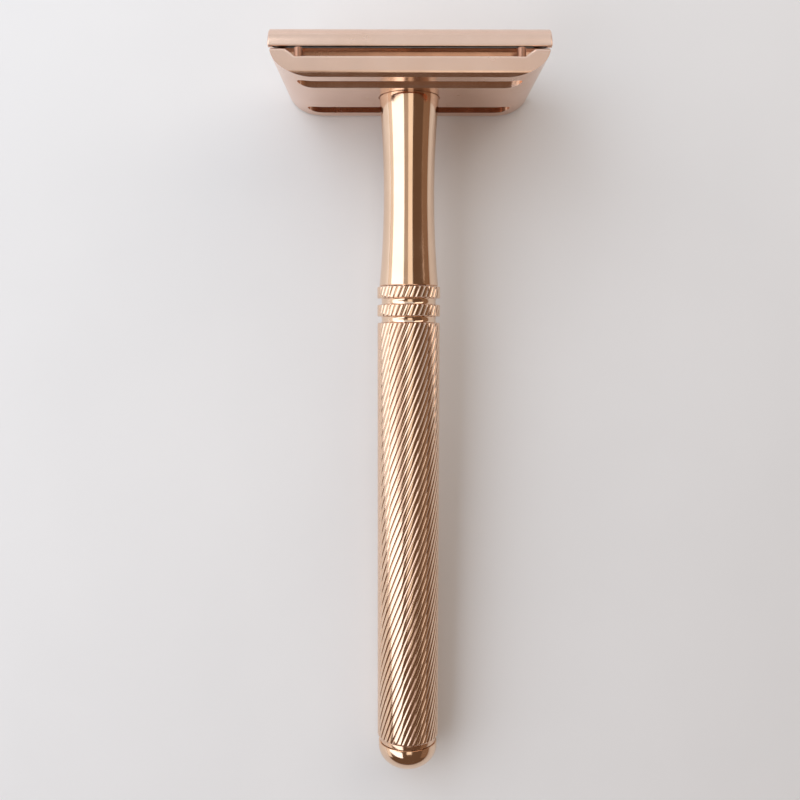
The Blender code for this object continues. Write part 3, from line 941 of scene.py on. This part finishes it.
def make_end_pieces(band_material, dome_material):
    """The thin ring, then the domed end: a short straight band and half an ellipse."""
    top = GRIP_END - GAP
    bottom = top - RING_THICKNESS
    profile = [(CORE_BORE, top), (RING_RADIUS, top), (RING_RADIUS, bottom), (CORE_BORE, bottom)]
    profile = rounded(rounded(profile, 2, RING_EDGE), 1, RING_EDGE)
    band = turned(profile, ROUND_STEPS)
    add_piece("end_band", band, band_material, "handle", ["end_ring"])
    top = bottom - GAP
    centre = top - DOME_BAND
    bevel = 0.3 * DOME_EDGE
    profile = [(0.0, CORE_END), (CORE_BORE, CORE_END), (CORE_BORE, top)]
    profile += [(DOME_RADIUS - DOME_EDGE, top), (DOME_RADIUS - bevel, top - bevel)]
    profile.append((DOME_RADIUS, top - DOME_EDGE))
    steps = 48
    for i in range(steps):
        turn = math.pi / 2.0 * i / steps
        profile.append((DOME_RADIUS * math.cos(turn), centre - DOME_HEIGHT * math.sin(turn)))
    profile.append((0.0, centre - DOME_HEIGHT))
    dome = turned(profile, ROUND_STEPS)
    add_piece("end_dome", dome, dome_material, "handle", ["end_cap"])


# Surroundings


def make_floor():
    bm = bmesh.new()
    bmesh.ops.create_grid(bm, x_segments=1, y_segments=1, size=FLOOR_HALF_SIZE)
    for vert in bm.verts:
        vert.co *= MM
    mesh = bpy.data.meshes.new("floor")
    bm.to_mesh(mesh)
    bm.free()
    mesh.materials.append(table_surface())
    floor = bpy.data.objects.new("floor", mesh)
    bpy.context.scene.collection.objects.link(floor)
    floor.location.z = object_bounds()[0].z


def add_light(name, location, size, radiance, colour):
    """A rectangular light that shines down, with its power from the radiance of its face."""
    light = bpy.data.lights.new(name, "AREA")
    light.shape = "RECTANGLE"
    light.size, light.size_y = size
    light.energy = radiance * math.pi * size[0] * size[1]
    light.color = colour
    obj = bpy.data.objects.new(name, light)
    obj.location = location
    bpy.context.scene.collection.objects.link(obj)
    return obj


def sky_panel(name, lean, turn, reach, size, shift, radiance, colour):
    """A soft light that faces the table: lean is its angle from overhead, turn its bearing from
    +X, and shift moves it sideways afterwards."""
    lean = math.radians(lean)
    turn = math.radians(turn)
    flat = reach * math.sin(lean)
    x = flat * math.cos(turn) + shift[0]
    y = flat * math.sin(turn) + shift[1]
    light = add_light(name, (x, y, reach * math.cos(lean)), size, radiance, colour)
    light.rotation_euler = (0.0, lean, turn)


def ceiling_panel(name, across, along, radiance, colour):
    """A soft light in the ceiling, given by where it starts and ends in X and in Y."""
    size = (across[1] - across[0], along[1] - along[0])
    centre = (sum(across) / 2.0, sum(along) / 2.0, CEILING)
    add_light(name, centre, size, radiance, colour)


def light_scene():
    """A dim warm room and a patchwork of soft panels, which the metal reflects as its bands."""
    world = bpy.data.worlds.new("studio")
    world.use_nodes = True
    background = world.node_tree.nodes["Background"]
    background.inputs["Color"].default_value = ROOM_COLOUR
    background.inputs["Strength"].default_value = ROOM_STRENGTH
    bpy.context.scene.world = world
    key = (0.94, 0.99, 1.05)
    warm = (1.0, 0.92, 0.80)
    cool = (0.86, 0.98, 1.06)
    ceiling_panel("key_head", (-1.50, -0.19), (0.005, 1.00), 1.85, key)
    ceiling_panel("key_side", (-1.50, -0.50), (-0.163, 0.005), 1.75, key)
    ceiling_panel("key_foot", (-1.50, -0.19), (-0.52, -0.163), 1.95, key)
    ceiling_panel("side_fill", (-0.50, -0.25), (-0.163, 0.005), 0.75, (1.0, 0.92, 0.90))
    ceiling_panel("gap_head", (-0.19, -0.03), (0.005, 0.12), 0.36, warm)
    ceiling_panel("middle", (-0.035, 0.13), (-0.24, 0.12), 0.98, warm)
    ceiling_panel("brow", (-0.19, 0.16), (0.12, 0.33), 0.64, cool)
    ceiling_panel("corner_right", (0.25, 1.00), (0.22, 0.95), 1.60, (1.0, 0.91, 0.82))
    sky_panel("head_panel", 61, 90, 0.6, (0.66, 0.90), (-0.22, 0), 0.74, cool)
    sky_panel("left_wall", 79, 180, 0.6, (0.20, 1.00), (0, -0.05), 0.80, (1.0, 0.97, 0.93))
    sky_panel("right_wall", 74, 0, 0.6, (0.37, 1.2), (0, 0), 0.11, (1.0, 0.64, 0.42))


def place_camera():
    """Straight above, close by, with the handle's axis rising a little towards the head."""
    tilt = math.radians(CAMERA_TILT)
    turn = Matrix.Rotation(math.pi / 2.0 - tilt, 4, "X")
    shift = Matrix.Translation(Vector(CAMERA_OFFSET) * MM)
    data = bpy.data.cameras.new("camera")
    data.sensor_width = 36.0
    data.lens = CAMERA_LENS
    data.clip_start = 0.01
    camera = bpy.data.objects.new("camera", data)
    camera.matrix_world = LAY @ turn @ shift @ Matrix.Rotation(CAMERA_ROLL, 4, "Z")
    bpy.context.scene.collection.objects.link(camera)
    bpy.context.scene.camera = camera


def main():
    """Builds the head, the handle and their surroundings. A grain is stretched along each axis
    in millimetres, and a roughness is given by its least and its most."""
    spun = (6.0, 6.0, 0.2)
    dome_grain = (6.0, 6.0, 0.25)
    cut = (4.0, 4.0, 0.15)
    satin = base_metal("satin_rose_gold", ROSE_SATIN)
    # Painted shade: the posts get a far darker tone than the plating, for the shade at the
    # channel ends.
    post = plated_metal("post_rose_gold_painted_shade", POST_SHADE_TONE, (3.0, 3.0, 0.3), (0.34, 0.44), 0.4)
    cap = plated_metal("cap_rose_gold_satin", ROSE_SATIN, (9.0, 0.3, 0.3), (0.20, 0.28), 0.5)
    polish = plated_metal("neck_rose_gold_polish", ROSE_POLISH, spun, (0.07, 0.13), 0.18)
    dome = plated_metal("dome_rose_gold_polish", ROSE_POLISH, dome_grain, (0.08, 0.15), 0.2)
    band = plated_metal("band_rose_gold", BAND_TONE, spun, (0.10, 0.18), 0.3)
    blade = bare_metal("blade_bright_steel", BLADE_STEEL, (10.0, 0.2, 0.2), (0.12, 0.22), 0.4)
    machined = bare_metal("machined_steel", MACHINED_STEEL, cut, (0.24, 0.36), 0.5)
    brass = bare_metal("insert_turned_brass", TURNED_BRASS, cut, (0.22, 0.34), 0.5)
    make_cap(cap)
    make_stud(machined)
    make_pins(machined)
    make_blade(blade)
    make_base(satin)
    make_posts(post)
    make_neck(polish)
    make_grip(fluted_metal("grip_rose_gold_flutes", ROSE_POLISH))
    make_end_pieces(band, dome)
    for node, material in (("neck_insert", brass), ("core_rod", machined)):
        frame["nodes"][node].data.materials.clear()
        frame["nodes"][node].data.materials.append(material)
    make_floor()
    light_scene()
    place_camera()
    bpy.context.scene.view_settings.view_transform = "Standard"


main()
